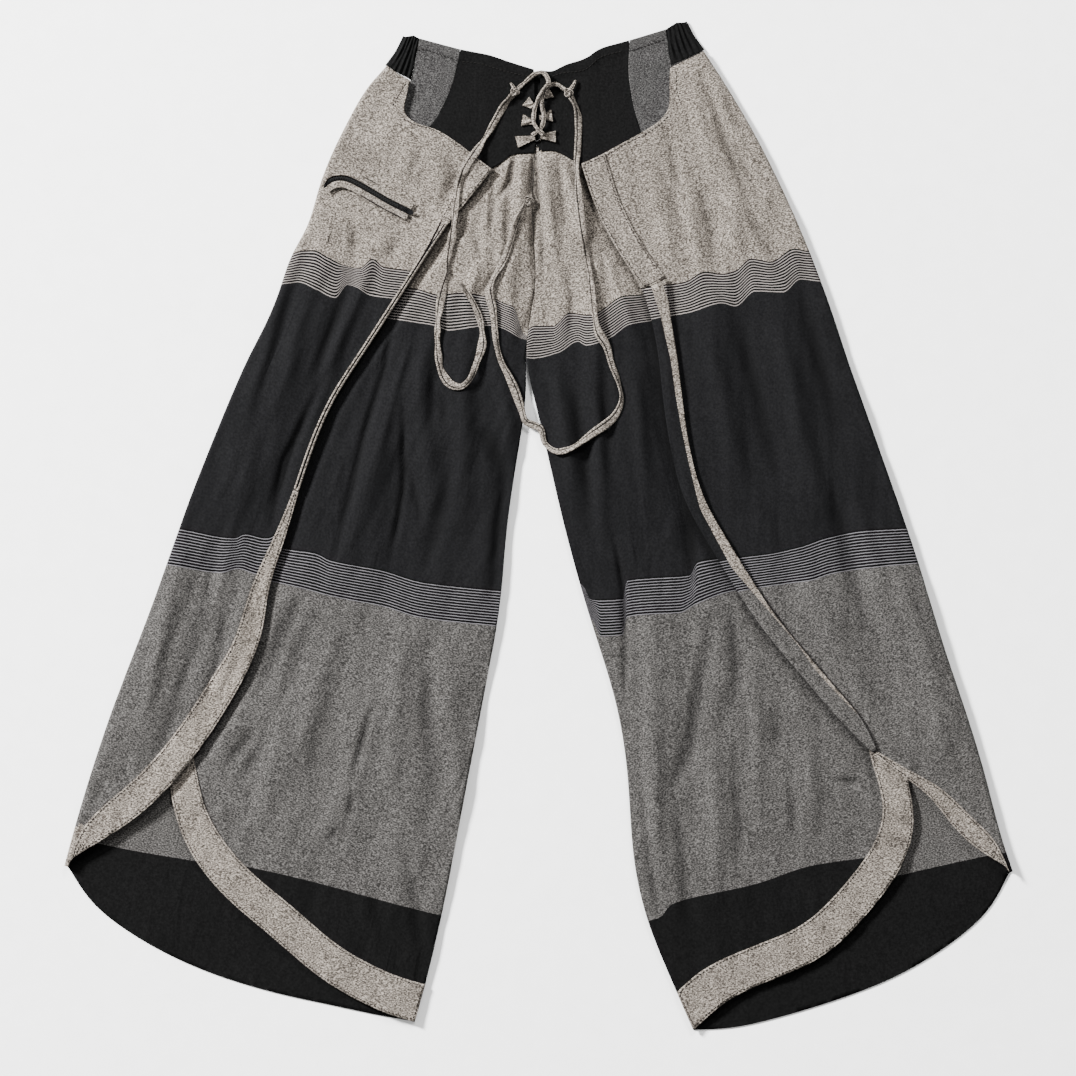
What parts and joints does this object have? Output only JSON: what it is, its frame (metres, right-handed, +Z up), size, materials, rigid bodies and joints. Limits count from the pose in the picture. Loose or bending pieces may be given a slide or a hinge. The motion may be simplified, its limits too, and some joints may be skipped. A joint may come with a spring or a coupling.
{
  "type": "palazzo pants with wrap-split legs, laid flat",
  "caption": "Wide palazzo pants lying flat, with laced front, wrap-split legs with banded edges, woven gray and black stripes, hip zip and long ties.",
  "frame": {"origin": "on the surface, below the middle of the pants' outline", "axes": "+X to the right of the picture, +Y from hems to waist, +Z up from the surface"},
  "size_m": [1.042, 1.109, 0.0147],
  "materials": {
    "light_gray_cotton": "matte",
    "mid_gray_cotton": "matte",
    "black_cotton": "matte",
    "striped_cotton": "matte",
    "dark_metal": "satin"
  },
  "bodies": {
    "root": {"left_outer_panel": "striped_cotton", "left_flap_trim_upper": "light_gray_cotton", "left_flap_rolled_edge": "light_gray_cotton", "left_flap_trim_lower": "light_gray_cotton", "left_inner_front": "striped_cotton", "left_inner_front_trim": "light_gray_cotton", "right_outer_panel": "striped_cotton", "right_flap_trim_upper": "light_gray_cotton", "right_flap_turned_edge": "light_gray_cotton", "right_flap_trim_lower": "light_gray_cotton", "right_inner_front": "striped_cotton", "right_inner_front_trim": "light_gray_cotton", "left_yoke_gray": "mid_gray_cotton", "left_yoke_centre": "black_cotton", "right_yoke_centre": "black_cotton", "right_yoke_gray": "mid_gray_cotton", "left_elastic": "black_cotton", "right_elastic": "black_cotton", "back_yoke": "black_cotton", "zip_tape": "black_cotton", "zip_welt_upper": "light_gray_cotton", "zip_welt_lower": "light_gray_cotton", "zip_slider": "dark_metal", "left_loop_1": "light_gray_cotton", "left_loop_2": "light_gray_cotton", "left_loop_3": "light_gray_cotton", "right_loop_1": "light_gray_cotton", "right_loop_2": "light_gray_cotton", "right_loop_3": "light_gray_cotton", "lace_left": "light_gray_cotton", "lace_right": "light_gray_cotton", "left_knot": "light_gray_cotton", "right_knot": "light_gray_cotton", "right_tie_end_knot": "light_gray_cotton", "left_tie": "light_gray_cotton", "right_tie": "light_gray_cotton"},
    "pull": {"zip_pull_tab": "dark_metal"}
  },
  "joints": [
    {"name": "zip_pull", "type": "hinge", "parent": "root", "child": "pull", "pos_m": [-0.148, 0.3495, 0.00875], "axis": [-0.4384, -0.8988, 0], "range_deg": [0, 170]}
  ]
}
